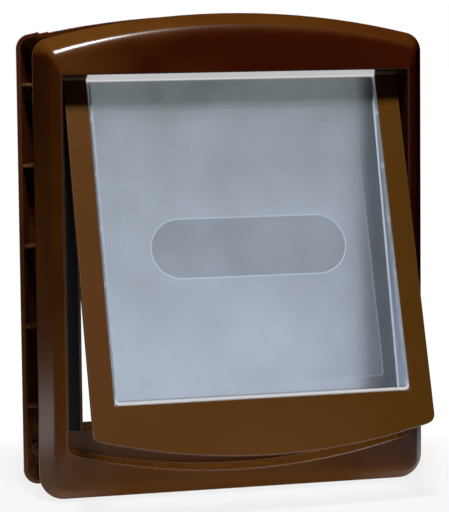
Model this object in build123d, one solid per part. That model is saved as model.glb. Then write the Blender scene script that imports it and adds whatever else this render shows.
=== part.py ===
"""Pet door for a house door: two moulded frames that line the cut-out, a brown flap
surround that swings outward and a clear window that hangs inside it and also swings inward.

Frame of the model: X to the right, Y through the door from outside to inside, Z up.
The origin is the centre of the door's cut-out, in the plane of the door's outer face.
The flap is built closed, then turned to the angle at which it stands open.
"""
import os
from math import sqrt

from build123d import *

# Outline of both frames
frame_width = 294.0
frame_height = 352.0
outer_arch_rise = 19.0           # how far the arched top stands above its corners
outer_top_radius = 14.0
outer_foot_radius = 18.0
inner_arch_rise = 16.5
inner_top_radius = 11.0
inner_foot_radius = 11.0
least_radius = 1.0               # of any corner drawn in from these

# How far the frames overlap the door around its cut-out
side_overlap = 16.0
top_overlap = 28.6
foot_overlap = 38.4

# Section of the moulded face, from the seat on the door to the front edge of the opening
face_depth = 23.6
rim_land = 2.0
shoulder_inset = 9.0
shoulder_depth = 5.0
shoulder_lead = 3.6              # depth over which the side turns into the shoulder
shoulder_share = 0.32            # share of the sloping front that the shoulder takes
shoulder_steps = 5
front_land = 1.5                 # level strip round the opening at the very front
opening_bevel = 0.6
face_wall = 2.8

# Opening in the outer face
side_bar = 17.3
top_bar = 42.4
bottom_bar = 18.6
opening_sag = 18.4
opening_top_radius = 1.0
opening_foot_radius = 5.5
sill_fall = 1.2
recess_wall = 2.4

# Tunnels that line the cut-out
cutout_gap = 0.5
tunnel_wall = 2.2
tunnel_gap = 0.6
tunnel_corner_radius = 3.0
door_gap = 60.0
front_tunnel_length = 42.0
tunnel_overlap = 6.0

# Stop wall behind the flap, and the aperture that the pet goes through
stop_thickness = 2.2
stop_reach = 11.0                # in from the side walls of the tunnel
stop_sill = 5.7                  # up from its floor
stop_head = 1.3                  # down from its ceiling
aperture_corner_radius = 1.5
hinge_pocket_rise = 8.0

# Hinge line
hinge_depth = 18.0               # behind the front edge of the opening
hinge_drop = 1.2                 # below the top edge of the opening
pin_radius = 1.5
pin_clearance = 0.05
pin_grip = 11.0
pin_press = 0.01
pin_boss_radius = 4.0
pin_boss_length = 5.0
pin_stub_radius = 3.2
pin_head_radius = 2.8
pin_head_thickness = 1.2
end_float = 0.35

# Flap surround
open_angle = 19.0
surround_side_gap = 3.9
surround_foot_gap = 7.1
surround_flatter = 1.0           # its foot is bowed less than the opening by this much
surround_corner_radius = 7.0
surround_top_radius = 0.4
surround_face_lead = 0.55        # front of the surround ahead of the hinge line
surround_thickness = 3.6
surround_skin = 2.3
surround_edge = 2.2
surround_arm = 16.7
surround_foot_bar = 23.7         # at the corners of its foot
surround_boss_radius = 3.1
surround_bar_rise = 4.9
surround_bar_height = 2.6
surround_bar_lead = 2.0
surround_bar_reach = 2.9         # past the window at each end
surround_edge_radius = 0.8
surround_rib_thickness = 1.6
surround_rib_pitch = 42.0
surround_rib_columns = 2         # each side of the middle one
surround_rib_rows = 6

# Clear window
window_gap = 0.4
window_plate = 2.4
window_wall = 2.0
window_depth = 20.5
window_taper_length = 55.0
window_corner_radius = 3.0
barrel_radius = 4.3
barrel_inset = 0.7
flange_reach = 3.4
flange_thickness = 1.8
flange_gap = 0.3
panel_side_margin = 18.4
panel_foot_margin = 11.4
panel_drop = 26.0                # from the hinge line down to the panel
panel_step = 0.35
pill_side_margin = 17.65
pill_height = 43.8
pill_drop = 130.2                # from the hinge line down to the pill's middle
lug_count = 6
lug_first_drop = 13.0
lug_last_rise = 14.6
lug_reach = 1.1
lug_depth = 3.0
lug_length = 3.6
foot_lug_inset = 44.7

# Magnets, their strike plates and the draught strips
sill_magnet_size = (64.0, 1.4, 8.0)
sill_magnet_drop = 10.0          # below the lip of the aperture
sill_strike_size = (70.0, 0.9, 8.0)
window_magnet_size = (40.0, 2.4, 6.0)
window_strike_size = (44.0, 0.9, 6.0)
strike_seat_margin = 1.5
holder_wall = 1.6
seal_width = 8.6
seal_inset = 1.8
seal_thickness = 1.2
seal_end_gap = 14.0

# Screws that draw the two frames together
screw_offset = 3.0               # outside the cut-out
screw_top_drop = 29.8            # below the top of the cut-out
screw_foot_drop = 13.8           # below its foot
screw_radius = 1.75
screw_clearance = 0.05
screw_head_radius = 3.2
screw_head_height = 2.4
screw_head_bevel = 0.8
clamp_travel = 12.0
front_post_radius = 3.9
front_post_reach = 12.0
front_post_floor = 10.0          # behind the front edge of the opening
tip_gap = 0.6
cap_thickness = 1.8
cap_radius = 3.5
cap_depth = 5.2                  # from the inner frame's front down to the cap
cap_gap = 0.05
head_gap = 0.3
back_post_radius = 5.0
back_post_floor = 3.0

# Closing-panel slot and rails in the inner frame, and the ribs behind both faces
slot_inset = 6.3
slot_depth = 6.0
slot_lead_inset = 0.5
slot_lead_depth = 4.5
rail_height = 2.5
rail_thickness = 1.6
face_rib_pitch = 60.3
face_rib_drop = 1.7
face_rib_setback = 2.0
face_rib_thickness = 1.8
face_rib_rows = 2                # each side of the middle one
face_rib_columns = 1             # each side of the middle one

# Positions worked out from the sizes above
cutout_width = frame_width - 2 * side_overlap
cutout_height = frame_height - top_overlap - foot_overlap
frame_foot = -cutout_height / 2 - foot_overlap
frame_top = cutout_height / 2 + top_overlap
outer_style = (outer_arch_rise, outer_top_radius, outer_foot_radius)
inner_style = (inner_arch_rise, inner_top_radius, inner_foot_radius)
side_lean = shoulder_inset / (face_depth - shoulder_depth - rim_land)
hollow_shoulder_inset = shoulder_inset + face_wall * (sqrt(1 + side_lean**2) - side_lean)
face_front = -face_depth
back_face = door_gap + face_depth
opening_half = frame_width / 2 - side_bar
opening_top = frame_top - top_bar
opening_foot = frame_foot + bottom_bar
back_tunnel_outer = (cutout_width - 2 * cutout_gap, cutout_height - 2 * cutout_gap)
back_tunnel_inner = tuple(side - 2 * tunnel_wall for side in back_tunnel_outer)
front_tunnel_outer = tuple(side - 2 * tunnel_gap for side in back_tunnel_inner)
front_tunnel_inner = tuple(side - 2 * tunnel_wall for side in front_tunnel_outer)
stop_front = -stop_thickness
aperture_half = front_tunnel_inner[0] / 2 - stop_reach
aperture_low = stop_sill - front_tunnel_inner[1] / 2
aperture_high = front_tunnel_inner[1] / 2 - stop_head
hinge_y = face_front + hinge_depth
hinge_z = opening_top - hinge_drop
surround_front = hinge_y - surround_face_lead
surround_back = surround_front + surround_thickness
surround_half = opening_half - surround_side_gap
surround_corner_z = opening_foot + opening_sag + surround_foot_gap
surround_sag = opening_sag - surround_flatter
window_half = surround_half - surround_arm - window_gap
window_foot = surround_corner_z + surround_foot_bar
barrel_end = window_half - barrel_inset
boss_start = window_half + window_gap
stub_end = surround_half + end_float
pin_boss_end = opening_half + recess_wall + pin_boss_length
flange_front = surround_back + flange_gap
panel_half = window_half - panel_side_margin
pill_width = 2 * (panel_half - pill_side_margin)
lug_pitch = (hinge_z - window_foot - lug_first_drop - lug_last_rise) / (lug_count - 1)
sill_magnet_z = aperture_low - sill_magnet_drop
window_magnet_z = window_foot - holder_wall - window_magnet_size[2] / 2
cap_outer = back_face - cap_depth
head_seat = cap_outer - cap_thickness - head_gap - screw_head_height
screw_tip = face_front + front_post_floor + tip_gap + clamp_travel
screw_x = cutout_width / 2 + screw_offset
screw_top = cutout_height / 2 - screw_top_drop
screw_foot = -cutout_height / 2 - screw_foot_drop
screw_places = {
    "top_left": (-screw_x, screw_top),
    "top_right": (screw_x, screw_top),
    "foot_left": (-screw_x, screw_foot),
    "foot_right": (screw_x, screw_foot),
}


def upright(y):
    """Plane across the passage at depth y, drawn in X and Z."""
    return Plane(origin=(0, y, 0), x_dir=(1, 0, 0), z_dir=(0, -1, 0))


def prism(face, depth):
    """Solid that runs from an upright face towards the inside of the house."""
    return extrude(face, amount=-depth)


def block(x_low, x_high, y_low, y_high, z_low, z_high):
    """Box between two corners."""
    size = (x_high - x_low, y_high - y_low, z_high - z_low)
    middle = ((x_low + x_high) / 2, (y_low + y_high) / 2, (z_low + z_high) / 2)
    return Pos(*middle) * Box(*size)


def rod(y, z, radius, x_low, x_high):
    """Cylinder along X."""
    place = Plane(origin=(x_low, y, z), z_dir=(1, 0, 0))
    return extrude(place * Circle(radius), amount=x_high - x_low)


def post(x, z, radius, y_low, y_high):
    """Cylinder along Y."""
    place = Plane(origin=(x, y_low, z), z_dir=(0, 1, 0))
    return extrude(place * Circle(radius), amount=y_high - y_low)


def window_shape(width, z_low, z_high, radius):
    """Rectangle with rounded corners, as an XZ drawing."""
    return Pos(0, (z_low + z_high) / 2) * RectangleRounded(width, z_high - z_low, radius)


def level_corners(sketch, half, level):
    """The two corners of an outline at one height."""
    return [
        v for v in sketch.vertices() if abs(abs(v.X) - half) < 1e-6 and abs(v.Y - level) < 1e-6
    ]


def outline_face(outline):
    """Upright face with an arched or straight top and a bowed or straight foot."""
    y, half, z_low, z_high, top_rise, foot_sag, top_radius, foot_radius = outline
    foot_left = (-half, z_low)
    foot_right = (half, z_low)
    top_right = (half, z_high)
    top_left = (-half, z_high)
    with BuildSketch(upright(y)) as sketch:
        with BuildLine():
            if foot_sag:
                ThreePointArc(foot_left, (0, z_low - foot_sag), foot_right)
            else:
                Line(foot_left, foot_right)
            Line(foot_right, top_right)
            if top_rise:
                ThreePointArc(top_right, (0, z_high + top_rise), top_left)
            else:
                Line(top_right, top_left)
            Line(top_left, foot_left)
        make_face()
        fillet(level_corners(sketch, half, z_low), foot_radius)
        fillet(level_corners(sketch, half, z_high), top_radius)
    return sketch.sketch.face()


def frame_outline(style, y, inset):
    """Outline of a frame, drawn in by an even inset."""
    full_rise, top_radius, foot_radius = style
    arch_radius = ((frame_width / 2) ** 2 + full_rise ** 2) / (2 * full_rise)
    half = frame_width / 2 - inset
    radius = arch_radius - inset
    arch_centre = frame_top - arch_radius
    corner_z = arch_centre + sqrt(radius ** 2 - half ** 2)
    rise = arch_centre + radius - corner_z
    top_radius = max(top_radius - inset, least_radius)
    foot_radius = max(foot_radius - inset, least_radius)
    return (y, half, frame_foot + inset, corner_z, rise, 0, top_radius, foot_radius)


def opening_outline(y, grow, lift):
    """Outline of the outer opening, grown by an even amount, its sill lifted by lift."""
    half = opening_half + grow
    z_low = opening_foot + opening_sag + lift - grow
    top_radius = opening_top_radius + grow
    foot_radius = opening_foot_radius + grow
    return (y, half, z_low, opening_top + grow, 0, opening_sag, top_radius, foot_radius)


def front_opening(y, grow):
    """Outline of the outer opening at the level front edge."""
    return opening_outline(y, grow, 0)


def mouth_outline(y, grow):
    """Outline of the inner frame's mouth, which is the inside of its tunnel."""
    half = back_tunnel_inner[0] / 2 + grow
    tall = back_tunnel_inner[1] / 2 + grow
    radius = tunnel_corner_radius + grow
    return (y, half, -tall, tall, 0, 0, radius, radius)


def fuse(pieces):
    """One solid from a list of solids that meet."""
    solid = pieces[0]
    for piece in pieces[1:]:
        solid += piece
    return solid


def between(low, high, share):
    """Outline part of the way from one outline to another."""
    return tuple(a + share * (b - a) for a, b in zip(low, high))


def stack(outlines):
    """Straight-sided solid through a row of outlines."""
    faces = [outline_face(outline) for outline in outlines]
    return fuse([loft([low, high], ruled=True) for low, high in zip(faces, faces[1:])])


def face_form(style, front_outline, seat, towards):
    """Outer form of a frame's face: a short rim, leaning sides, a round shoulder, a front."""
    rim = frame_outline(style, seat + towards * rim_land, 0)
    crease_y = seat + towards * (face_depth - shoulder_depth)
    crease = frame_outline(style, crease_y, shoulder_inset)
    front = front_outline(seat + towards * face_depth, front_land)
    start = between(crease, rim, shoulder_lead / (face_depth - shoulder_depth - rim_land))
    end = between(crease, front, shoulder_share)
    rounded = []
    for step in range(shoulder_steps + 1):
        turn = step / shoulder_steps
        rounded.append(between(between(start, crease, turn), between(crease, end, turn), turn))
    return stack([frame_outline(style, seat, 0), rim] + rounded + [front])


def face_hollow(style, front_outline, seat, towards):
    """Hollow behind a frame's face, which leaves an even wall."""
    shoulder = towards * (face_depth - shoulder_depth - face_wall)
    return stack(
        [
            frame_outline(style, seat, face_wall),
            frame_outline(style, seat + shoulder, hollow_shoulder_inset),
            front_outline(seat + towards * (face_depth - face_wall), recess_wall / 2),
        ]
    )


def tunnel(inner, outer, y_low, y_high):
    """Rectangular tunnel liner with rounded corners."""
    shell = upright(y_low) * RectangleRounded(outer[0], outer[1], tunnel_corner_radius + tunnel_wall)
    bore = upright(y_low) * RectangleRounded(inner[0], inner[1], tunnel_corner_radius)
    return prism(shell - bore, y_high - y_low)


def face_ribs(hollow, seat, towards):
    """Cross ribs that stiffen the hollow behind a face, set back from its seat."""
    y_low, y_high = sorted((seat + towards * face_rib_setback, seat + towards * face_depth))
    half_rib = face_rib_thickness / 2
    half_width = frame_width / 2
    ribs = []
    for step in range(-face_rib_rows, face_rib_rows + 1):
        z = step * face_rib_pitch - face_rib_drop
        ribs.append(block(-half_width, half_width, y_low, y_high, z - half_rib, z + half_rib))
    for step in range(-face_rib_columns, face_rib_columns + 1):
        x = step * face_rib_pitch
        ribs.append(block(x - half_rib, x + half_rib, y_low, y_high, frame_foot, frame_top))
    return fuse(ribs) & hollow


def both_sides(piece):
    """A piece on the right and its mirror image on the left."""
    return piece + mirror(piece, about=Plane.YZ)


def front_frame():
    """Outer frame: arched face, recess for the flap, stop wall with the aperture, tunnel."""
    form = face_form(outer_style, front_opening, 0, -1)
    hollow = face_hollow(outer_style, front_opening, 0, -1)
    half = opening_half
    pocket_top = opening_top + hinge_pocket_rise
    pocket_low = opening_top - hinge_pocket_rise
    recess = stack(
        [
            opening_outline(face_front - 1, opening_bevel, 0),
            opening_outline(face_front, opening_bevel, 0),
            opening_outline(face_front + opening_bevel, 0, 0),
            opening_outline(stop_front, 0, sill_fall),
        ]
    )
    pocket = block(-half, half, face_front + face_wall, stop_front, pocket_low, pocket_top)
    recess_block = stack(
        [
            opening_outline(face_front + 1, recess_wall, 0),
            opening_outline(0, recess_wall, sill_fall),
        ]
    )
    pocket_block = block(
        -half - recess_wall,
        half + recess_wall,
        face_front + 1,
        0,
        pocket_low,
        pocket_top + recess_wall,
    )
    pin_boss = rod(hinge_y, hinge_z, pin_boss_radius, half, pin_boss_end)
    pin_stub = rod(hinge_y, hinge_z, pin_stub_radius, stub_end, half + 1)
    pin_bore = rod(hinge_y, hinge_z, pin_radius + pin_press, stub_end - 1, pin_boss_end + 1)
    body = (form - hollow) + face_ribs(hollow, 0, -1)
    body += recess_block + pocket_block + both_sides(pin_boss)
    body -= recess + pocket
    body += tunnel(front_tunnel_inner, front_tunnel_outer, stop_front / 2, front_tunnel_length)
    for x, z in screw_places.values():
        body += post(x, z, front_post_radius, face_front, 0) & hollow
        body += post(x, z, front_post_radius, -1, front_post_reach)
        bore_floor = face_front + front_post_floor
        body -= post(x, z, screw_radius + screw_clearance, bore_floor, front_post_reach + 1)
    aperture = upright(stop_front - 1) * window_shape(
        2 * aperture_half, aperture_low, aperture_high, aperture_corner_radius
    )
    body -= prism(aperture, stop_thickness + 2)
    body += both_sides(pin_stub)
    body -= both_sides(pin_bore)
    body -= stop_seal() + mirror(stop_seal(), about=Plane.YZ)
    return body - sill_magnet()


def back_frame():
    """Inner frame: the same arched face round the mouth of a tunnel that slides over the first."""
    form = face_form(inner_style, mouth_outline, door_gap, 1)
    hollow = face_hollow(inner_style, mouth_outline, door_gap, 1)
    body = (form - hollow) + face_ribs(hollow, door_gap, 1)
    for x, z in screw_places.values():
        body += post(x, z, back_post_radius, head_seat - back_post_floor, back_face) & hollow
    tunnel_start = front_tunnel_length - tunnel_overlap
    body += tunnel(back_tunnel_inner, back_tunnel_outer, tunnel_start, back_face - face_wall / 2)
    body -= prism(outline_face(mouth_outline(door_gap - 1, 0)), face_depth + 2)
    inner_half = back_tunnel_inner[0] / 2
    for y_low in (door_gap - rail_thickness, door_gap + slot_depth):
        rail = block(
            inner_half - rail_height,
            inner_half + tunnel_wall / 2,
            y_low,
            y_low + rail_thickness,
            -back_tunnel_inner[1] / 2,
            back_tunnel_inner[1] / 2 - rail_height,
        )
        body += both_sides(rail)
    above = frame_top + 1
    slot_low = back_tunnel_inner[1] / 2 - 1
    lead_low = back_tunnel_outer[1] / 2
    slot_half = inner_half - slot_inset
    lead_half = back_tunnel_outer[0] / 2 - slot_lead_inset
    slot_back = door_gap + slot_depth
    lead_back = door_gap + slot_lead_depth
    body -= block(-slot_half, slot_half, door_gap - 1, slot_back, slot_low, above)
    body -= block(-lead_half, lead_half, door_gap - 1, lead_back, lead_low, above)
    for x, z in screw_places.values():
        body -= post(x, z, screw_radius + screw_clearance, door_gap - 1, head_seat + 1)
        body -= post(x, z, cap_radius + cap_gap, head_seat, back_face + 1)
    return body


def fixing_screw(x, z):
    """Pan-head screw from the inner frame into the outer frame's post."""
    shank = post(x, z, screw_radius, screw_tip, head_seat + 0.5)
    head = post(x, z, screw_head_radius, head_seat, head_seat + screw_head_height)
    head = chamfer(head.edges().sort_by(Axis.Y)[-1], screw_head_bevel)
    return shank + head


def screw_cap(x, z):
    """Plug that covers a screw's head."""
    return post(x, z, cap_radius, cap_outer - cap_thickness, cap_outer)


def hinge_pin(side):
    """Headed pin, pressed into the frame, on which the surround and the window both turn."""
    shank = rod(hinge_y, hinge_z, pin_radius, barrel_end - pin_grip, pin_boss_end)
    head = rod(
        hinge_y, hinge_z, pin_head_radius, pin_boss_end, pin_boss_end + pin_head_thickness
    )
    pin = shank + head
    return pin if side > 0 else mirror(pin, about=Plane.YZ)


def stop_seal():
    """Draught strip let into the right-hand stop wall."""
    x_low = aperture_half + seal_inset
    return block(
        x_low,
        x_low + seal_width,
        stop_front,
        stop_front + seal_thickness,
        aperture_low,
        hinge_z - seal_end_gap,
    )


def sill_magnet():
    """Bar magnet let into the stop wall above the sill."""
    width, thick, tall = sill_magnet_size
    return block(
        -width / 2,
        width / 2,
        stop_front,
        stop_front + thick,
        sill_magnet_z - tall / 2,
        sill_magnet_z + tall / 2,
    )


def strike_plate(size, z):
    """Steel strip let into the back of the surround."""
    width, thick, tall = size
    return block(
        -width / 2, width / 2, surround_back - thick, surround_back, z - tall / 2, z + tall / 2
    )


def sill_strike():
    """Steel strip that the sill magnet holds."""
    return strike_plate(sill_strike_size, sill_magnet_z)


def window_strike():
    """Steel strip that the window's own magnet holds."""
    return strike_plate(window_strike_size, window_magnet_z)


def surround_face(y, inset):
    """Outline of the flap surround."""
    half = surround_half - inset
    z_low = surround_corner_z + inset
    radius = surround_corner_radius - inset
    return outline_face(
        (y, half, z_low, hinge_z - inset, 0, surround_sag, surround_top_radius, radius)
    )


def flap_surround():
    """Brown ring with a bowed foot, turning on bosses at the top of its two arms."""
    slab = prism(surround_face(surround_front, 0), surround_thickness)
    front_edges = [
        edge
        for edge in slab.edges()
        if abs(edge.bounding_box().max.Y - surround_front) < 1e-3
        and edge.bounding_box().min.Z < hinge_z - 1
    ]
    slab = fillet(front_edges, surround_edge_radius)
    half_hole = window_half + window_gap
    hole_foot = window_foot - window_gap
    pan_start = surround_front + surround_skin
    pan = prism(surround_face(pan_start, surround_edge), surround_thickness)
    kept = half_hole + surround_edge
    kept_foot = hole_foot - surround_edge
    pan -= block(-kept, kept, pan_start - 1, surround_back + 9, kept_foot, hinge_z + 1)
    ribs = []
    half_rib = surround_rib_thickness / 2
    for step in range(-surround_rib_columns, surround_rib_columns + 1):
        x = step * surround_rib_pitch
        ribs.append(
            block(x - half_rib, x + half_rib, pan_start - 1, surround_back, -frame_height, kept_foot)
        )
    for step in range(surround_rib_rows):
        z = hinge_z - (step + 0.5) * surround_rib_pitch
        ribs.append(
            block(
                -surround_half,
                surround_half,
                pan_start - 1,
                surround_back,
                z - half_rib,
                z + half_rib,
            )
        )
    for plate in (sill_strike(), window_strike()):
        box = plate.bounding_box()
        ribs.append(
            block(
                box.min.X - strike_seat_margin,
                box.max.X + strike_seat_margin,
                pan_start - 1,
                surround_back,
                box.min.Z - strike_seat_margin,
                box.max.Z + strike_seat_margin,
            )
        )
    pan -= fuse(ribs)
    body = slab - pan
    body -= block(
        -half_hole, half_hole, surround_front - 9, surround_back + 9, hole_foot, hinge_z + 9
    )
    boss = rod(hinge_y, hinge_z, surround_boss_radius, boss_start, surround_half)
    bar_low = hinge_z + surround_bar_rise
    bar_high = bar_low + surround_bar_height
    bar_half = half_hole + surround_bar_reach
    bar_front = hinge_y - surround_bar_lead
    bar = block(-bar_half, bar_half, bar_front, surround_back, bar_low, bar_high)
    web = block(half_hole, bar_half, bar_front, surround_back, hinge_z, bar_high)
    bore = rod(hinge_y, hinge_z, pin_radius + pin_clearance, boss_start - 1, surround_half + 1)
    barrel_room = rod(
        hinge_y, hinge_z, barrel_radius + window_gap, -boss_start, boss_start
    )
    body += both_sides(boss)
    body += bar
    body += both_sides(web)
    body -= barrel_room
    body -= both_sides(bore)
    return body - (sill_strike() + window_strike())


def window_wall_taper():
    """Wedge cut off the back of the window's walls below the hinge."""
    depth_low = surround_front + window_depth
    depth_high = hinge_y + barrel_radius
    z_top = hinge_z + barrel_radius
    z_end = hinge_z - window_taper_length
    with BuildSketch(Plane.YZ) as sketch:
        with BuildLine():
            Polyline(
                (depth_high, z_top),
                (depth_low + 1, z_top),
                (depth_low + 1, z_end),
                (depth_low, z_end),
                (depth_high, hinge_z),
                close=True,
            )
        make_face()
    return extrude(sketch.sketch, amount=frame_width / 2, both=True)


def flap_window():
    """Clear tray, open at the back, with its barrel at the top and a stop flange behind."""
    half = window_half
    outside = upright(surround_front) * window_shape(
        2 * half, window_foot, hinge_z, window_corner_radius
    )
    tray = prism(outside, window_depth)
    hollow_shape = window_shape(
        2 * (half - window_wall),
        window_foot + window_wall,
        hinge_z + 2 * barrel_radius,
        window_corner_radius - window_wall,
    )
    hollow = prism(upright(surround_front + window_plate) * hollow_shape, window_depth)
    flange_shape = window_shape(
        2 * (half + flange_reach),
        window_foot - flange_reach,
        hinge_z - 2 * barrel_radius,
        window_corner_radius,
    )
    flange = prism(upright(flange_front) * flange_shape, flange_thickness)
    body = (tray + flange) - hollow - window_wall_taper()
    body += rod(hinge_y, hinge_z, barrel_radius, -barrel_end, barrel_end)
    panel = window_shape(
        2 * panel_half, window_foot + panel_foot_margin, hinge_z - panel_drop, window_corner_radius
    )
    pill = Pos(0, hinge_z - pill_drop) * SlotOverall(pill_width, pill_height)
    body -= prism(upright(surround_front - 1) * panel, 1 + panel_step)
    body -= prism(upright(surround_front - 1) * pill, 1 + 2 * panel_step)
    lug_start = flange_front + flange_thickness + lug_reach
    half_lug = lug_length / 2
    for step in range(lug_count):
        z = hinge_z - lug_first_drop - step * lug_pitch
        lug = block(
            half - 1, half + lug_reach, lug_start, lug_start + lug_depth, z - half_lug, z + half_lug
        )
        body += both_sides(lug)
    foot_lug_x = half - foot_lug_inset
    foot_lug = block(
        foot_lug_x - half_lug,
        foot_lug_x + half_lug,
        lug_start,
        lug_start + lug_depth,
        window_foot - lug_reach,
        window_foot + 1,
    )
    body += both_sides(foot_lug)
    holder_half = window_magnet_size[0] / 2 + holder_wall
    holder_back = flange_front + window_magnet_size[1] + holder_wall
    body += block(
        -holder_half,
        holder_half,
        flange_front,
        holder_back,
        window_magnet_z - window_magnet_size[2] / 2 - holder_wall,
        window_foot + 1,
    )
    for side in (-1, 1):
        x_low, x_high = sorted((side * (barrel_end - pin_grip - 1), side * (barrel_end + 1)))
        body -= rod(hinge_y, hinge_z, pin_radius + pin_clearance, x_low, x_high)
    return body - window_magnet()


def window_magnet():
    """Bar magnet in the holder below the window."""
    width, thick, tall = window_magnet_size
    y_high = flange_front + thick + holder_wall
    return block(
        -width / 2,
        width / 2,
        y_high - thick,
        y_high,
        window_magnet_z - tall / 2,
        window_magnet_z + tall / 2,
    )


def opened(piece):
    """A piece of the closed flap, swung outward on the hinge line."""
    return piece.rotate(Axis((0, hinge_y, hinge_z), (1, 0, 0)), -open_angle)


def all_pieces():
    """Every piece of the pet door by name."""
    pieces = {
        "front_frame": front_frame(),
        "back_frame": back_frame(),
        "stop_seal_right": stop_seal(),
        "stop_seal_left": mirror(stop_seal(), about=Plane.YZ),
        "sill_magnet": sill_magnet(),
        "hinge_pin_left": hinge_pin(-1),
        "hinge_pin_right": hinge_pin(1),
        "flap_surround": opened(flap_surround()),
        "sill_strike_plate": opened(sill_strike()),
        "window_strike_plate": opened(window_strike()),
        "flap_window": opened(flap_window()),
        "window_magnet": opened(window_magnet()),
    }
    for place, (x, z) in screw_places.items():
        pieces["fixing_screw_" + place] = fixing_screw(x, z)
        pieces["screw_cap_" + place] = screw_cap(x, z)
    return pieces


os.makedirs("parts", exist_ok=True)
for name, piece in all_pieces().items():
    export_step(piece, "parts/" + name + ".step")
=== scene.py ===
# %% [markdown]
# # A pet door in brown moulded plastic with a clear flap window
#
# The door comes as two frames that line a hole in a house door. A brown surround hangs in
# the outer frame and stands open, and a clear window hangs inside the surround. The packed
# solids have the shapes already, apart from a step in the outer frame's top bar that the
# real one lacks. This script gives them their finishes, draws the window's fine lines,
# puts a smooth top bar in place of the stepped one, and sets the studio round them.

from math import cos, radians, sin

import bmesh
import bpy
from mathutils import Matrix, Vector


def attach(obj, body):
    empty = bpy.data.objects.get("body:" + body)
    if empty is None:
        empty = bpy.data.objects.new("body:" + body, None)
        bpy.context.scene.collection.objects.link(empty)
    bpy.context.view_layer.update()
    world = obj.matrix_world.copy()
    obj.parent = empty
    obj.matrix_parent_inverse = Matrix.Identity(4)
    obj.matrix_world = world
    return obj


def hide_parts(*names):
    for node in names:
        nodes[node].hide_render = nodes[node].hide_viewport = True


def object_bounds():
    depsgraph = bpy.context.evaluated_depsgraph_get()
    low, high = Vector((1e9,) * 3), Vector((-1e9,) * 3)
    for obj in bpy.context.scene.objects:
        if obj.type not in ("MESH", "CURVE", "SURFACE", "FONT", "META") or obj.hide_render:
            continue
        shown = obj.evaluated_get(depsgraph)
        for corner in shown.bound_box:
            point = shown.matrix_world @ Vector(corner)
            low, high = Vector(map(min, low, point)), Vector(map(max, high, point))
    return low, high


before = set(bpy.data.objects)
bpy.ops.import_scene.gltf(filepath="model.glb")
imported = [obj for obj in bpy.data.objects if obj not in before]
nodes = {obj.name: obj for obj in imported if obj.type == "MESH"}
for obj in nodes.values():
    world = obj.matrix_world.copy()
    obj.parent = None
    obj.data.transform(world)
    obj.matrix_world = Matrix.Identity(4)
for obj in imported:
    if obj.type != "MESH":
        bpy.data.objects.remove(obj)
cad_low, cad_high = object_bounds()
MM = 0.001
print("packed size in mm:", [round((high - low) / MM, 1) for low, high in zip(cad_low, cad_high)])

# %% [markdown]
# ## Colours
#
# A listed colour is an sRGB value, as on a screen. A shader works with light, which
# adds up in linear values, so one function turns the first into the second.


# %% One function for every colour
def colour(code):
    """Linear RGBA from an sRGB hex code."""
    values = [int(code[i : i + 2], 16) / 255 for i in (1, 3, 5)]
    linear = [v / 12.92 if v <= 0.04045 else ((v + 0.055) / 1.055) ** 2.4 for v in values]
    return (*linear, 1.0)


print("mid brown in linear light:", [round(v, 3) for v in colour("#5a3a14")])


# %% [markdown]
# ## Nodes
#
# A material is a small network. One helper adds any kind of node, sets what is fixed on it
# and links what drives it, so that each finish below reads as a list of steps. Where a node
# itself stands for what drives an input, its first output is meant.


# %% A helper that adds one node
def add(tree, kind, settings=None, links=None):
    """Adds a node. Words and numbers set it, sockets and other nodes drive it."""
    node = tree.nodes.new(kind)
    for key, value in {**(settings or {}), **(links or {})}.items():
        if isinstance(value, bpy.types.Node):
            value = value.outputs[0]
        if isinstance(value, bpy.types.NodeSocket):
            tree.links.new(value, node.inputs[key])
        elif isinstance(key, str) and hasattr(node, key):
            setattr(node, key, value)
        else:
            node.inputs[key].default_value = value
    return node


def new_material(name):
    """An empty material and its output node."""
    material = bpy.data.materials.new(name)
    material.use_nodes = True
    material.node_tree.nodes.clear()
    output = material.node_tree.nodes.new("ShaderNodeOutputMaterial")
    return material, material.node_tree, output


# %% [markdown]
# ## Brown ABS
#
# Both frames and the surround are injection-moulded ABS, coloured all through. The mould
# was polished, so the skin is glossy, yet a moulded face is never quite even. The brown
# drifts from olive to red along one direction across each part, and faces that look up or
# down are more olive: both are painted light and shade. A noise breaks up that drift, and
# a fine one gives the skin its slight orange peel. No mould makes a dead sharp edge, so the
# Bevel node rounds what the light sees of every edge by a fraction of a millimetre. The
# angle by which it turns the normal also tells where an edge is. A painted highlight makes
# edges a little paler there, most of all those that face down, for the table's light they catch.


# %% Brown ABS
CLOUD_SPREAD = 0.25
PEEL_MM = 1.6
PEEL_DEPTH_MM = 0.2


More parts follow.
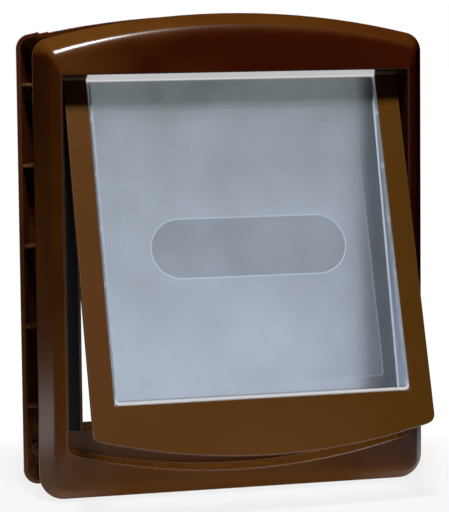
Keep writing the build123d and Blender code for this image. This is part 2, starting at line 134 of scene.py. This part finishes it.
def brown_abs(
    name,
    olive,
    red,
    roughness,
    painted_light_way=(0, 0, 0),
    olive_bias=0.5,
    edge_light=0.4,
    edge_mm=0.7,
    cloud_mm=60,
):
    """Moulded ABS whose brown drifts from olive to red as painted light and shade, with painted
    edge highlights.
    """
    material, tree, output = new_material(name)
    place = add(tree, "ShaderNodeTexCoord")
    clouds = add(
        tree,
        "ShaderNodeTexNoise",
        {"Scale": 1 / (cloud_mm * MM), "Detail": 2.0, "Roughness": 0.45},
        {"Vector": place.outputs["Object"]},
    )
    least, most = olive_bias - CLOUD_SPREAD, olive_bias + CLOUD_SPREAD
    cloudy = add(
        tree,
        "ShaderNodeMapRange",
        {"From Min": 0.3, "From Max": 0.7, "To Min": least, "To Max": most},
        {"Value": clouds.outputs["Fac"]},
    )
    # painted light and shade: the brown drifts towards olive along one direction
    painted_drift = add(
        tree,
        "ShaderNodeVectorMath",
        {"operation": "DOT_PRODUCT", 1: painted_light_way},
        {0: place.outputs["Object"]},
    )
    way = add(tree, "ShaderNodeSeparateXYZ", None, {"Vector": place.outputs["Normal"]})
    # painted light: faces that look up or down are pushed towards olive
    level = add(tree, "ShaderNodeMath", {"operation": "ABSOLUTE"}, {0: way.outputs["Z"]})
    painted_light_up_down = add(
        tree,
        "ShaderNodeMapRange",
        {"From Min": 0.12, "From Max": 0.7, "To Min": 0.0, "To Max": 0.9},
        {"Value": level.outputs[0]},
    )
    cloudy_with_drift = add(
        tree,
        "ShaderNodeMath",
        {"operation": "ADD"},
        {0: cloudy.outputs["Result"], 1: painted_drift.outputs["Value"]},
    )
    share = add(
        tree,
        "ShaderNodeMath",
        {"operation": "ADD", "use_clamp": True},
        {0: cloudy_with_drift.outputs[0], 1: painted_light_up_down.outputs["Result"]},
    )
    brown = add(
        tree,
        "ShaderNodeMix",
        {"data_type": "RGBA", 6: colour(red), 7: colour(olive)},
        {0: share.outputs[0]},
    )
    skin = add(
        tree,
        "ShaderNodeTexNoise",
        {"Scale": 1 / (PEEL_MM * MM), "Detail": 1.0},
        {"Vector": place.outputs["Object"]},
    )
    rounded = add(tree, "ShaderNodeBevel", {"samples": 4, "Radius": edge_mm * MM})
    bump = add(
        tree,
        "ShaderNodeBump",
        {"Strength": 0.02, "Distance": PEEL_DEPTH_MM * MM},
        {"Height": skin.outputs["Fac"], "Normal": rounded.outputs[0]},
    )
    shape = add(tree, "ShaderNodeNewGeometry")
    turned = add(
        tree,
        "ShaderNodeVectorMath",
        {"operation": "DOT_PRODUCT"},
        {0: rounded.outputs[0], 1: shape.outputs["Normal"]},
    )
    edge = add(
        tree,
        "ShaderNodeMapRange",
        {"From Min": 0.995, "From Max": 0.9, "To Min": 0.0, "To Max": edge_light},
        {"Value": turned.outputs["Value"]},
    )
    leaning = add(tree, "ShaderNodeSeparateXYZ", None, {"Vector": rounded.outputs[0]})
    painted_light_downwards = add(
        tree,
        "ShaderNodeMapRange",
        {"From Min": 0.05, "From Max": -0.25, "To Min": 0.35, "To Max": 1.0},
        {"Value": leaning.outputs["Z"]},
    )
    edge_highlight_share = add(
        tree,
        "ShaderNodeMath",
        {"operation": "MULTIPLY"},
        {0: edge.outputs["Result"], 1: painted_light_downwards.outputs["Result"]},
    )
    # painted highlight: edges, above all those facing down, are mixed towards a pale colour
    painted_edge_highlight = add(
        tree,
        "ShaderNodeMix",
        {"data_type": "RGBA", 7: colour("#c4b4a4")},
        {0: edge_highlight_share.outputs[0], 6: brown.outputs[2]},
    )
    surface = add(
        tree,
        "ShaderNodeBsdfPrincipled",
        {"Roughness": roughness, "IOR": 1.5},
        {"Base Color": painted_edge_highlight.outputs[2], "Normal": bump.outputs["Normal"]},
    )
    tree.links.new(surface.outputs[0], output.inputs["Surface"])
    return material


outer_abs = brown_abs(
    "glossy brown ABS", "#5e3710", "#3e1100", 0.22, painted_light_way=(-3, 0, -2.5), olive_bias=0.2
)
surround_abs = brown_abs(
    "satin brown ABS",
    "#5e3b0e",
    "#6e4424",
    0.26,
    painted_light_way=(3, 0, 1),
    olive_bias=0.45,
    edge_light=0.95,
    edge_mm=1.0,
)
inner_abs = brown_abs(
    "brown ABS of the inner frame", "#64401c", "#58240c", 0.28, painted_light_way=(0, 0, -2.5), olive_bias=0.4
)
print("brown finishes:", outer_abs.name, surround_abs.name, inner_abs.name)


# %% [markdown]
# ## Clear window
#
# The window is clear plastic, PMMA or the like. Its panel is finely etched in the mould, so
# it passes light, blurs what is behind it and scatters some light back as a blue-grey haze.
# A raised outline runs round the panel and round the bare pill-shaped field in its middle.
# Its edges and outlines carry painted highlights, and the barrel and the rim at the foot a
# painted glow, in place of the light that comes out of a polished edge.
#
# The lines are drawn by their distance from a rounded rectangle, worked out in the plane of
# the closed window. A Mapping node turns the open window's points back into that plane.

# %% The window's plane
HINGE = Vector((0, -5.6, 127.5)) * MM
OPEN_ANGLE = radians(19)
CLOSED_PLACE = -(Matrix.Rotation(OPEN_ANGLE, 3, "X") @ HINGE)
WINDOW_HALF = 108.7 * MM
WINDOW_FOOT = -240.6 * MM
PANEL_HALF = 90.3 * MM
PANEL_TOP = -26 * MM
PANEL_FOOT = -229.2 * MM
PILL_HALF = 72.65 * MM
PILL_TALL = 21.9 * MM
PILL_MIDDLE = -130.2 * MM


def edge_distance(tree, point, middle, half, tall, radius):
    """Distance out of a rounded rectangle that lies in the window's plane."""
    vector, number = "ShaderNodeVectorMath", "ShaderNodeMath"
    straight = (half - radius, 0, tall - radius)
    centred = add(tree, vector, {"operation": "SUBTRACT", 1: (0, 0, middle)}, {0: point})
    flat = add(tree, vector, {"operation": "MULTIPLY", 1: (1, 0, 1)}, {0: centred})
    folded = add(tree, vector, {"operation": "ABSOLUTE"}, {0: flat})
    past = add(tree, vector, {"operation": "SUBTRACT", 1: straight}, {0: folded})
    outside = add(tree, vector, {"operation": "MAXIMUM", 1: (0, 0, 0)}, {0: past})
    corner = add(tree, vector, {"operation": "LENGTH"}, {0: outside})
    parts = add(tree, "ShaderNodeSeparateXYZ", None, {"Vector": past})
    wide, high = parts.outputs["X"], parts.outputs["Z"]
    side = add(tree, number, {"operation": "MAXIMUM"}, {0: wide, 1: high})
    inside = add(tree, number, {"operation": "MINIMUM", 1: 0.0}, {0: side})
    total = add(tree, number, {"operation": "ADD"}, {0: corner.outputs["Value"], 1: inside})
    return add(tree, number, {"operation": "SUBTRACT", 1: radius}, {0: total})


def line_at(tree, distance, offset, width, strength):
    """The strength on a line at an offset from an outline, nothing beside it."""
    away = add(tree, "ShaderNodeMath", {"operation": "SUBTRACT", 1: offset}, {0: distance})
    both = add(tree, "ShaderNodeMath", {"operation": "ABSOLUTE"}, {0: away})
    return add(
        tree,
        "ShaderNodeMapRange",
        {"From Min": width / 2, "From Max": width, "To Min": strength, "To Max": 0.0},
        {"Value": both},
    )


print("window's own height in mm:", round(-WINDOW_FOOT / MM, 1))

# %% [markdown]
# The tones follow from those distances. Each is a ramp between two places, so the ramps
# stand in one list: what drives it, where it starts and ends, and its value there. Painted
# shade darkens the panel under the barrel, for the top bar's shadow, and in a band along
# the right side, where the tray's wall stands behind it. Painted light makes the panel
# paler towards the foot and brighter at the barrel and past the right rib. Small marks,
# taken to be lugs, show as painted highlights along both sides at an even pitch.

# %% Etched clear plastic
RIB_LEFT = -106.9 * MM
RIB_RIGHT = 106.4 * MM
RIB_SPREAD = 0.0245
RIB_FOOT = WINDOW_FOOT + 2.7 * MM
LUG_PITCH = 40.5 * MM
LUG_START = -12.5 * MM
LUG_SIDE = (106 * MM, 106.4 * MM)
BAND_SIDE = (94 * MM, 104 * MM)
BAND_LEAN = -0.1
BARREL = (-4.6 * MM, -4.2 * MM)
CORNER = 3 * MM
CLOUD_MM = 45
RIM_LINE = (-1.1 * MM, 1.2 * MM)
LIGHT_PASSED = 0.72


def etched_clear(name):
    """Clear plastic with an etched panel, raised outlines, painted highlights and a painted glow
    on its edges.
    """
    material, tree, output = new_material(name)
    number = "ShaderNodeMath"
    place = add(tree, "ShaderNodeTexCoord")
    closed = add(
        tree,
        "ShaderNodeMapping",
        {"Location": CLOSED_PLACE, "Rotation": (OPEN_ANGLE, 0, 0)},
        {"Vector": place.outputs["Object"]},
    )
    axes = add(tree, "ShaderNodeSeparateXYZ", None, {"Vector": closed})
    across, through, height = (axes.outputs[axis] for axis in "XYZ")
    panel_middle = (PANEL_TOP + PANEL_FOOT) / 2
    panel_tall = (PANEL_TOP - PANEL_FOOT) / 2
    rim = edge_distance(tree, closed, WINDOW_FOOT / 2, WINDOW_HALF, -WINDOW_FOOT / 2, CORNER)
    panel = edge_distance(tree, closed, panel_middle, PANEL_HALF, panel_tall, CORNER)
    pill = edge_distance(tree, closed, PILL_MIDDLE, PILL_HALF, PILL_TALL, PILL_TALL)

    # distances past the ribs at the right, the left and the foot, and into the band of painted
    # shade
    spread = add(tree, number, {"operation": "MULTIPLY", 1: RIB_SPREAD}, {0: height})
    upright = add(tree, number, {"operation": "SUBTRACT"}, {0: across, 1: spread})
    right = add(tree, number, {"operation": "SUBTRACT", 1: RIB_RIGHT}, {0: upright})
    left = add(tree, number, {"operation": "SUBTRACT", 0: RIB_LEFT}, {1: across})
    foot = add(tree, number, {"operation": "SUBTRACT", 0: RIB_FOOT}, {1: height})
    leant = add(tree, number, {"operation": "MULTIPLY", 1: BAND_LEAN}, {0: height})
    band = add(tree, number, {"operation": "ADD"}, {0: across, 1: leant})
    foot_line = line_at(tree, foot, 0.0, 0.6 * MM, 1.0)

    # distance from the nearest row of lugs, as a share of their pitch
    below = add(tree, number, {"operation": "SUBTRACT", 1: LUG_START}, {0: height})
    rows = add(tree, number, {"operation": "DIVIDE", 1: LUG_PITCH}, {0: below})
    share = add(tree, number, {"operation": "FRACT"}, {0: rows})
    centred = add(tree, number, {"operation": "SUBTRACT", 1: 0.5}, {0: share})
    from_row = add(tree, number, {"operation": "ABSOLUTE"}, {0: centred})
    sideways = add(tree, number, {"operation": "ABSOLUTE"}, {0: across})

    clouds = add(
        tree,
        "ShaderNodeTexNoise",
        {"Scale": 1 / (CLOUD_MM * MM), "Detail": 3.0, "Roughness": 0.55},
        {"Vector": place.outputs["Object"]},
    )
    ramps = {
        "front": (through, 0.6 * MM, 1.0 * MM, 1.0, 0.0),
        "outline": (height, -40 * MM, -130 * MM, 0.0, 0.3),
        "right rib": (height, -5 * MM, -40 * MM, 0.3, 1.0),
        "rim": (height, WINDOW_FOOT + 8 * MM, WINDOW_FOOT + 3 * MM, 0.12, 1.0),
        "foot rim": (height, WINDOW_FOOT + 5.84 * MM, WINDOW_FOOT + 3 * MM, 0.0, 1.0),
        "lug row": (from_row, 0.035, 0.05, 0.6, 0.0),
        "lug side": (sideways, *LUG_SIDE, 0.0, 1.0),
        "painted barrel glow": (height, *BARREL, 0.0, 0.7),
        "mottled": (clouds, 0.3, 0.7, -0.12, 0.12),
        "painted_light_downwards": (height, -35 * MM, WINDOW_FOOT, 0.25, 0.85),
        "painted barrel shadow": (height, -18 * MM, -40 * MM, 0.3, 1.0),
        "pill tone": (pill, -0.3 * MM, 0.0, 0.72, 1.0),
        "painted wall shade": (band, *BAND_SIDE, 1.0, 0.72),
        "painted strip light": (right, 0.0, 0.6 * MM, 1.0, 2.2),
        "painted barrel light": (height, *BARREL, 1.0, 2.5),
        "foot tone": (foot_line, 0.0, 1.0, 1.0, 0.5),
        "blur": (panel, -1 * MM, 1 * MM, 0.42, 0.3),
        "haze": (band, *BAND_SIDE, 0.12, 0.07),
    }
    tones = {}
    for tone, (value, low, high, start, end) in ramps.items():
        tones[tone] = add(
            tree,
            "ShaderNodeMapRange",
            {"label": tone, "From Min": low, "From Max": high, "To Min": start, "To Max": end},
            {"Value": value},
        )

    # painted highlights on lines and lugs, on the front only: the brightest of them counts
    rim_highlight = line_at(tree, rim, *RIM_LINE, tones["rim"])
    lines = [
        rim_highlight,
        line_at(tree, panel, 0.0, 0.5 * MM, tones["outline"]),
        line_at(tree, pill, 0.0, 0.7 * MM, 0.8),
        line_at(tree, right, 0.0, 1.0 * MM, tones["right rib"]),
        line_at(tree, left, 0.0, 0.8 * MM, 0.6),
    ]
    brightest = add(
        tree, number, {"operation": "MULTIPLY"}, {0: tones["lug row"], 1: tones["lug side"]}
    )
    for line in lines:
        brightest = add(tree, number, {"operation": "MAXIMUM"}, {0: brightest, 1: line})
    bright = add(tree, number, {"operation": "MULTIPLY"}, {0: brightest, 1: tones["front"]})

    # the tint of the plastic: mottled, with a painted shadow under the barrel and painted light
    # towards the foot
    painted_light_from_top = add(
        tree, number, {"operation": "MULTIPLY"}, {0: tones["painted_light_downwards"], 1: tones["painted barrel shadow"]}
    )
    mottled_and_painted_light = add(
        tree, number, {"operation": "ADD", "use_clamp": True}, {0: tones["mottled"], 1: painted_light_from_top}
    )
    tint = add(
        tree,
        "ShaderNodeMix",
        {"data_type": "RGBA", 6: colour("#6c7473"), 7: colour("#b9c2d2")},
        {0: mottled_and_painted_light},
    )
    # painted shade and light scale the tint: darker in the wall band, brighter at the barrel and
    # past the right rib
    shade = tones["pill tone"]
    for tone in ("painted wall shade", "foot tone", "painted strip light", "painted barrel light"):
        shade = add(tree, number, {"operation": "MULTIPLY"}, {0: shade, 1: tones[tone]})
    shaded = add(
        tree, "ShaderNodeVectorMath", {"operation": "SCALE"}, {0: tint.outputs[2], "Scale": shade}
    )
    clear = add(
        tree,
        "ShaderNodeBsdfPrincipled",
        {"IOR": 1.49, "Transmission Weight": 1.0},
        {"Base Color": shaded, "Roughness": tones["blur"]},
    )

    # haze over the etching, thicker on the painted highlights, and a painted glow out of the
    # barrel's edge and the rim at the foot
    haze = add(tree, "ShaderNodeBsdfDiffuse", {"Color": colour("#d6e2f2")})
    highlight_haze = add(tree, number, {"operation": "MULTIPLY", 1: 0.8}, {0: bright})
    haze_share = add(tree, number, {"operation": "ADD"}, {0: tones["haze"], 1: highlight_haze})
    etched = add(tree, "ShaderNodeMixShader", None, {0: haze_share, 1: clear, 2: haze})
    # painted glow: an emission on the barrel and the rim at the foot, which are no lamps
    painted_glow = add(tree, "ShaderNodeEmission", {"Color": colour("#eeecec"), "Strength": 0.72})
    rim_glow_at_foot = add(tree, number, {"operation": "MULTIPLY"}, {0: rim_highlight, 1: tones["foot rim"]})
    foot_rim_glow = add(tree, number, {"operation": "MULTIPLY"}, {0: rim_glow_at_foot, 1: tones["front"]})
    barrel_edge_glow = line_at(tree, height, BARREL[1], 0.8 * MM, 1.0)
    painted_glow_share = tones["painted barrel glow"]
    for edge in (barrel_edge_glow, foot_rim_glow):
        painted_glow_share = add(tree, number, {"operation": "MAXIMUM"}, {0: painted_glow_share, 1: edge})
    with_painted_glow = add(tree, "ShaderNodeMixShader", None, {0: painted_glow_share, 1: etched, 2: painted_glow})

    # a clear plate lets most of the light through to what is behind it
    path = add(tree, "ShaderNodeLightPath")
    shadow_ray = path.outputs["Is Shadow Ray"]
    passed = add(tree, number, {"operation": "MULTIPLY", 1: LIGHT_PASSED}, {0: shadow_ray})
    open_air = add(tree, "ShaderNodeBsdfTransparent")
    surface = add(tree, "ShaderNodeMixShader", None, {0: passed, 1: with_painted_glow, 2: open_air})
    tree.links.new(surface.outputs[0], output.inputs["Surface"])
    return material


clear_etched = etched_clear("etched clear plastic")
print("window finish:", clear_etched.name, "with", len(clear_etched.node_tree.nodes), "nodes")

# %% [markdown]
# ## Metal, ferrite and brush
#
# The screws are zinc plated, and the hinge pins and strike plates are plain rolled steel.
# Both are full metals whose roughness varies with a fine grain. The magnets are sintered
# ferrite and the draught strips are a dense black pile. Seen from here those two are dark
# mottled surfaces without much shine, so the moulded finish makes them with finer clouds.


# %% Steel, ferrite and brush
GRAIN_MM = 0.6
GRAIN_SPREAD = 0.06


def steel(name, code, roughness):
    """Plain metal with a faint grain."""
    material, tree, output = new_material(name)
    place = add(tree, "ShaderNodeTexCoord")
    grain = add(
        tree,
        "ShaderNodeTexNoise",
        {"Scale": 1 / (GRAIN_MM * MM), "Detail": 2.0},
        {"Vector": place.outputs["Object"]},
    )
    rough = add(
        tree,
        "ShaderNodeMapRange",
        {"To Min": roughness - GRAIN_SPREAD, "To Max": roughness + GRAIN_SPREAD},
        {"Value": grain.outputs["Fac"]},
    )
    surface = add(
        tree,
        "ShaderNodeBsdfPrincipled",
        {"Base Color": colour(code), "Metallic": 1.0},
        {"Roughness": rough.outputs["Result"]},
    )
    tree.links.new(surface.outputs[0], output.inputs["Surface"])
    return material


zinc = steel("bright zinc plate", "#c9c7c0", 0.28)
bare_steel = steel("rolled steel", "#9a9a9c", 0.34)
ferrite = brown_abs("black ferrite", "#1b1b1c", "#222122", 0.55, cloud_mm=3)
brush = brown_abs("black draught strip", "#060606", "#0c0b0b", 0.9, cloud_mm=1.2)
print("small parts' finishes:", zinc.name, bare_steel.name, ferrite.name, brush.name)

# %% [markdown]
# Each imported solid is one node, and gets one finish by its name. The four screws and their
# caps are alike, so they go by how their names begin.

# %% Dress every node
FINISHES = {
    "front_frame": outer_abs,
    "back_frame": inner_abs,
    "flap_surround": surround_abs,
    "flap_window": clear_etched,
    "stop_seal_left": brush,
    "stop_seal_right": brush,
    "sill_magnet": ferrite,
    "window_magnet": ferrite,
    "sill_strike_plate": bare_steel,
    "window_strike_plate": bare_steel,
    "hinge_pin_left": bare_steel,
    "hinge_pin_right": bare_steel,
}


def finish_of(name):
    """The finish of a node by its name."""
    if name.startswith("fixing_screw"):
        return zinc
    if name.startswith("screw_cap"):
        return inner_abs
    return FINISHES[name]


for name, item in nodes.items():
    item.data.materials.clear()
    item.data.materials.append(finish_of(name))
print("dressed nodes:", len(nodes))

# %% [markdown]
# ## The outer frame's moulding
#
# On the real frame the top bar runs smoothly from its shoulder down to the opening. The
# solid has a straight step of up to 2 mm there, because the block round the hinge pocket
# comes through the sloping front. This piece is a merged copy of the solid without the
# step: the faces that stand proud are taken away, and the hole is filled from its own rim.

# %% Moulding without the step
STEP_FRONT = -22.6 * MM
STEP_TOP = 139.1 * MM
STEP_SIDE = 132.1 * MM
STEP_LOW = 130 * MM
STEP_BACK = -20.5 * MM
NEAR = 0.03 * MM
SAME_PLACE = 0.001 * MM
FRONT_WAY = (0, -1, 0.25)


def on_step(points):
    """Whether a face with these corners belongs to the block that comes through."""
    if any(point.z < STEP_LOW or point.y > STEP_BACK for point in points):
        return False
    return (
        all(abs(point.y - STEP_FRONT) < NEAR for point in points)
        or all(abs(point.z - STEP_TOP) < NEAR for point in points)
        or all(abs(abs(point.x) - STEP_SIDE) < NEAR for point in points)
    )


solid = nodes["front_frame"].data
form = bmesh.new()
form.from_mesh(solid)
bmesh.ops.remove_doubles(form, verts=form.verts, dist=SAME_PLACE)
step_faces = [face for face in form.faces if on_step([corner.co for corner in face.verts])]
bmesh.ops.delete(form, geom=step_faces, context="FACES")
rim_edges = [edge for edge in form.edges if edge.is_boundary]
bmesh.ops.triangle_fill(form, edges=rim_edges, use_beauty=True, normal=FRONT_WAY)
bmesh.ops.recalc_face_normals(form, faces=form.faces)
print("step faces:", len(step_faces), "rim edges:", len(rim_edges))
print("edges left open:", sum(edge.is_boundary for edge in form.edges))
mesh = bpy.data.meshes.new("outer_frame_moulding")
form.to_mesh(mesh)
form.free()

# %% [markdown]
# The solid carries the true normals of its curved faces, and a merge loses them. They are
# read back from it by place. Where faces meet at less than 22 degrees, as the bands of the
# shoulder do, their normals become one, weighted by area so that flat faces stay flat.

# %% Normals of the moulding
SMOOTH_BELOW = radians(22)
PLACES_PER_M = 1e5


def place_of(point):
    """A point as whole hundredths of a millimetre, to look it up by."""
    return tuple(round(value * PLACES_PER_M) for value in point)


own_normal = {}
meeting = {}
for face in solid.polygons:
    corners = [solid.vertices[index].co for index in face.vertices]
    if on_step(corners):
        continue
    for loop, corner in zip(face.loop_indices, corners):
        normal = solid.corner_normals[loop].vector.copy()
        own_normal[place_of(corner), place_of(face.center)] = normal
        meeting.setdefault(place_of(corner), []).append((normal, face.area))

mesh.shade_smooth()
normals = [None] * len(mesh.loops)
for face in mesh.polygons:
    for loop, index in zip(face.loop_indices, face.vertices):
        corner = place_of(mesh.vertices[index].co)
        own = own_normal.get((corner, place_of(face.center)), face.normal)
        total = Vector()
        for normal, area in meeting.get(corner, []):
            if own.angle(normal) < SMOOTH_BELOW:
                total += normal * area
        normals[loop] = total.normalized() if total.length > 0 else own
mesh.normals_split_custom_set(normals)

moulding = bpy.data.objects.new("outer_frame_moulding", mesh)
bpy.context.scene.collection.objects.link(moulding)
mesh.materials.append(outer_abs)
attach(moulding, "outer_frame")
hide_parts("front_frame")
print("moulding faces:", len(mesh.polygons))

# %% [markdown]
# ## The studio
#
# The door stands on a white acrylic table that glows a little from below, with a softbox
# in front of it and above. A brighter patch of the table, to the left, is what the frame's
# left side mirrors. To the camera and through the window the table is white, with the
# door's shadow near its feet. What it glows and mirrors back to the door comes from close
# by only, so that the sides stay dark.

# %% Floor
FLOOR_HALF = 6.0
FLOOR_Z = cad_low[2]
SHADOW_WHITE = 0.84
SHADOW_REACH = (0.17, 0.36)
TABLE_GLOW = 0.9
GLOW_REACH = (0.14, 0.34)
TABLE_SHEEN = 0.42
SHEEN_START = (0.085, 0.2)
SHEEN_REACH = (0.2, 0.42)
PATCH_PLACE = (-0.46, 0.13, 0)
PATCH_SIZE = (0.2, 0.11, 1)
PATCH_LIGHT = 1.6
PATCH_CORE = 0.7


def white_table():
    """White table that keeps shadows near the door and is white further off."""
    material, tree, output = new_material("white acrylic table")
    number, vector = "ShaderNodeMath", "ShaderNodeVectorMath"
    path = add(tree, "ShaderNodeLightPath")
    camera_ray, glass_ray, mirror_ray = (
        path.outputs[ray] for ray in ("Is Camera Ray", "Is Transmission Ray", "Is Glossy Ray")
    )
    seen = add(tree, number, {"operation": "MAXIMUM"}, {0: camera_ray, 1: glass_ray})
    place = add(tree, "ShaderNodeTexCoord")
    reach = add(tree, vector, {"operation": "LENGTH"}, {0: place.outputs["Object"]})
    from_patch = add(
        tree, vector, {"operation": "SUBTRACT", 1: PATCH_PLACE}, {0: place.outputs["Object"]}
    )
    stretched = add(tree, vector, {"operation": "DIVIDE", 1: PATCH_SIZE}, {0: from_patch})
    patch_reach = add(tree, vector, {"operation": "LENGTH"}, {0: stretched})
    ramps = {
        "white": (reach, *SHADOW_REACH, SHADOW_WHITE, 1.0),
        "glow": (reach, *GLOW_REACH, TABLE_GLOW, 0.0),
        "sheen": (reach, *SHEEN_REACH, TABLE_SHEEN, 0.0),
        "sheen start": (reach, *SHEEN_START, 0.0, 1.0),
        "patch": (patch_reach, PATCH_CORE, 1.0, PATCH_LIGHT, 0.0),
    }
    tones = {}
    for tone, (distance, low, high, start, end) in ramps.items():
        tones[tone] = add(
            tree,
            "ShaderNodeMapRange",
            {"label": tone, "From Min": low, "From Max": high, "To Min": start, "To Max": end},
            {"Value": distance.outputs["Value"]},
        )
    mirrored = add(
        tree, number, {"operation": "MULTIPLY"}, {0: tones["sheen"], 1: tones["sheen start"]}
    )
    unseen = add(
        tree,
        "ShaderNodeMix",
        {"data_type": "FLOAT"},
        {0: mirror_ray, 2: tones["glow"], 3: mirrored},
    )
    with_patch = add(tree, number, {"operation": "ADD"}, {0: unseen, 1: tones["patch"]})
    strength = add(
        tree,
        "ShaderNodeMix",
        {"data_type": "FLOAT"},
        {0: seen, 2: with_patch, 3: tones["white"]},
    )
    matt = add(tree, "ShaderNodeBsdfDiffuse", {"Color": colour("#585858")})
    light = add(tree, "ShaderNodeEmission", {"Color": (1, 1, 1, 1)}, {"Strength": strength})
    both = add(tree, "ShaderNodeAddShader", None, {0: matt, 1: light})
    surface = add(tree, "ShaderNodeMixShader", None, {0: mirror_ray, 1: both, 2: light})
    tree.links.new(surface.outputs[0], output.inputs["Surface"])
    return material


mesh = bpy.data.meshes.new("floor")
form = bmesh.new()
bmesh.ops.create_grid(form, x_segments=1, y_segments=1, size=FLOOR_HALF)
form.to_mesh(mesh)
form.free()
floor = bpy.data.objects.new("floor", mesh)
floor.location = (0, 0, FLOOR_Z)
bpy.context.scene.collection.objects.link(floor)
mesh.materials.append(white_table())
print("table at a height in mm:", round(FLOOR_Z / MM, 1))

# %% [markdown]
# The background is white to the camera and through the window. Reflections see it only
# straight behind the door, since the rest of the room is dark, and that keeps the brown
# deep. A faint fill reaches the sides that no lamp lights.

# %% Background
FILL = 0.02
BEHIND_WAY = (0.98, 0.998)
BEHIND_LIGHT = 0.4
world = bpy.data.worlds.new("studio")
bpy.context.scene.world = world
world.use_nodes = True
tree = world.node_tree
tree.nodes.clear()
number = "ShaderNodeMath"
path = add(tree, "ShaderNodeLightPath")
camera_ray, glass_ray, mirror_ray, diffuse_ray = (
    path.outputs[ray]
    for ray in ("Is Camera Ray", "Is Transmission Ray", "Is Glossy Ray", "Is Diffuse Ray")
)
seen = add(tree, number, {"operation": "MAXIMUM"}, {0: camera_ray, 1: glass_ray})
direction = add(tree, "ShaderNodeTexCoord")
split = add(tree, "ShaderNodeSeparateXYZ", None, {"Vector": direction.outputs["Generated"]})
behind = add(
    tree,
    "ShaderNodeMapRange",
    {"From Min": BEHIND_WAY[0], "From Max": BEHIND_WAY[1], "To Min": 0.0, "To Max": BEHIND_LIGHT},
    {"Value": split.outputs["Y"]},
)
mirrored = add(tree, number, {"operation": "MULTIPLY"}, {0: behind, 1: mirror_ray})
filled = add(tree, number, {"operation": "MULTIPLY", 1: FILL}, {0: diffuse_ray})
unseen = add(tree, number, {"operation": "ADD"}, {0: mirrored, 1: filled})
strength = add(tree, number, {"operation": "MAXIMUM"}, {0: seen, 1: unseen})
back = add(tree, "ShaderNodeBackground", {"Color": (1, 1, 1, 1)}, {"Strength": strength})
add(tree, "ShaderNodeOutputWorld", None, {"Surface": back})
print("fill from all round:", FILL)

# %% [markdown]
# One softbox, high and a little to the left, lights the fronts and draws the bright line
# along the top shoulder. It is small, so that the line is narrow, and far off, so that the
# light is level from top to foot.


# %% Softbox
def softbox(name, place, aim, width, height, watts):
    """Area lamp at a place, turned to face a point."""
    lamp = bpy.data.lights.new(name, "AREA")
    lamp.shape = "RECTANGLE"
    lamp.size = width
    lamp.size_y = height
    lamp.energy = watts
    box = bpy.data.objects.new(name, lamp)
    box.location = place
    box.rotation_euler = (Vector(place) - Vector(aim)).to_track_quat("Z", "Y").to_euler()
    bpy.context.scene.collection.objects.link(box)
    return box


KEY_WAY = Vector((-0.08, -0.36, 0.93)).normalized()
KEY_AIM = Vector((0, 0, 0.05))
KEY_DISTANCE = 1.9
KEY_SIZE = (0.26, 0.3)
KEY_WATTS = 40
key = softbox("key softbox", KEY_AIM + KEY_WAY * KEY_DISTANCE, KEY_AIM, *KEY_SIZE, KEY_WATTS)
print("key lamp in W:", key.data.energy)

# %% [markdown]
# ## The camera
#
# The picture was taken from the left and a little above, from far away with a long lens.
# The angles and the distance were found by fitting the edges of both frames and the flap,
# with an outside size of 294 by 352 mm taken for the frame.

# %% Camera
AZIMUTH = radians(15.549)
ELEVATION = radians(5.983)
ROLL = radians(-0.553)
CAMERA_PLACE = Vector((-486.5, -1772.0, 191.1)) * MM
FOCAL_PIXELS = 2504.7
PICTURE = (449, 512)
CENTRE_SHIFT = (-15.71, -8.147)
SENSOR_MM = 36

forward = Vector((sin(AZIMUTH) * cos(ELEVATION), cos(AZIMUTH) * cos(ELEVATION), -sin(ELEVATION)))
right = Vector((cos(AZIMUTH), -sin(AZIMUTH), 0))
up = right.cross(forward)
turned_right = right * cos(ROLL) + up * sin(ROLL)
turned_up = up * cos(ROLL) - right * sin(ROLL)
camera = bpy.data.cameras.new("camera")
camera.sensor_width = SENSOR_MM
camera.lens = FOCAL_PIXELS / PICTURE[1] * SENSOR_MM
camera.shift_x = CENTRE_SHIFT[0] / PICTURE[1]
camera.shift_y = CENTRE_SHIFT[1] / PICTURE[1]
camera_object = bpy.data.objects.new("camera", camera)
turn = Matrix((turned_right, turned_up, -forward)).transposed().to_4x4()
camera_object.matrix_world = Matrix.Translation(CAMERA_PLACE) @ turn
bpy.context.scene.collection.objects.link(camera_object)
bpy.context.scene.camera = camera_object
bpy.context.scene.view_settings.view_transform = "Standard"
print("lens in mm:", round(camera.lens, 1))
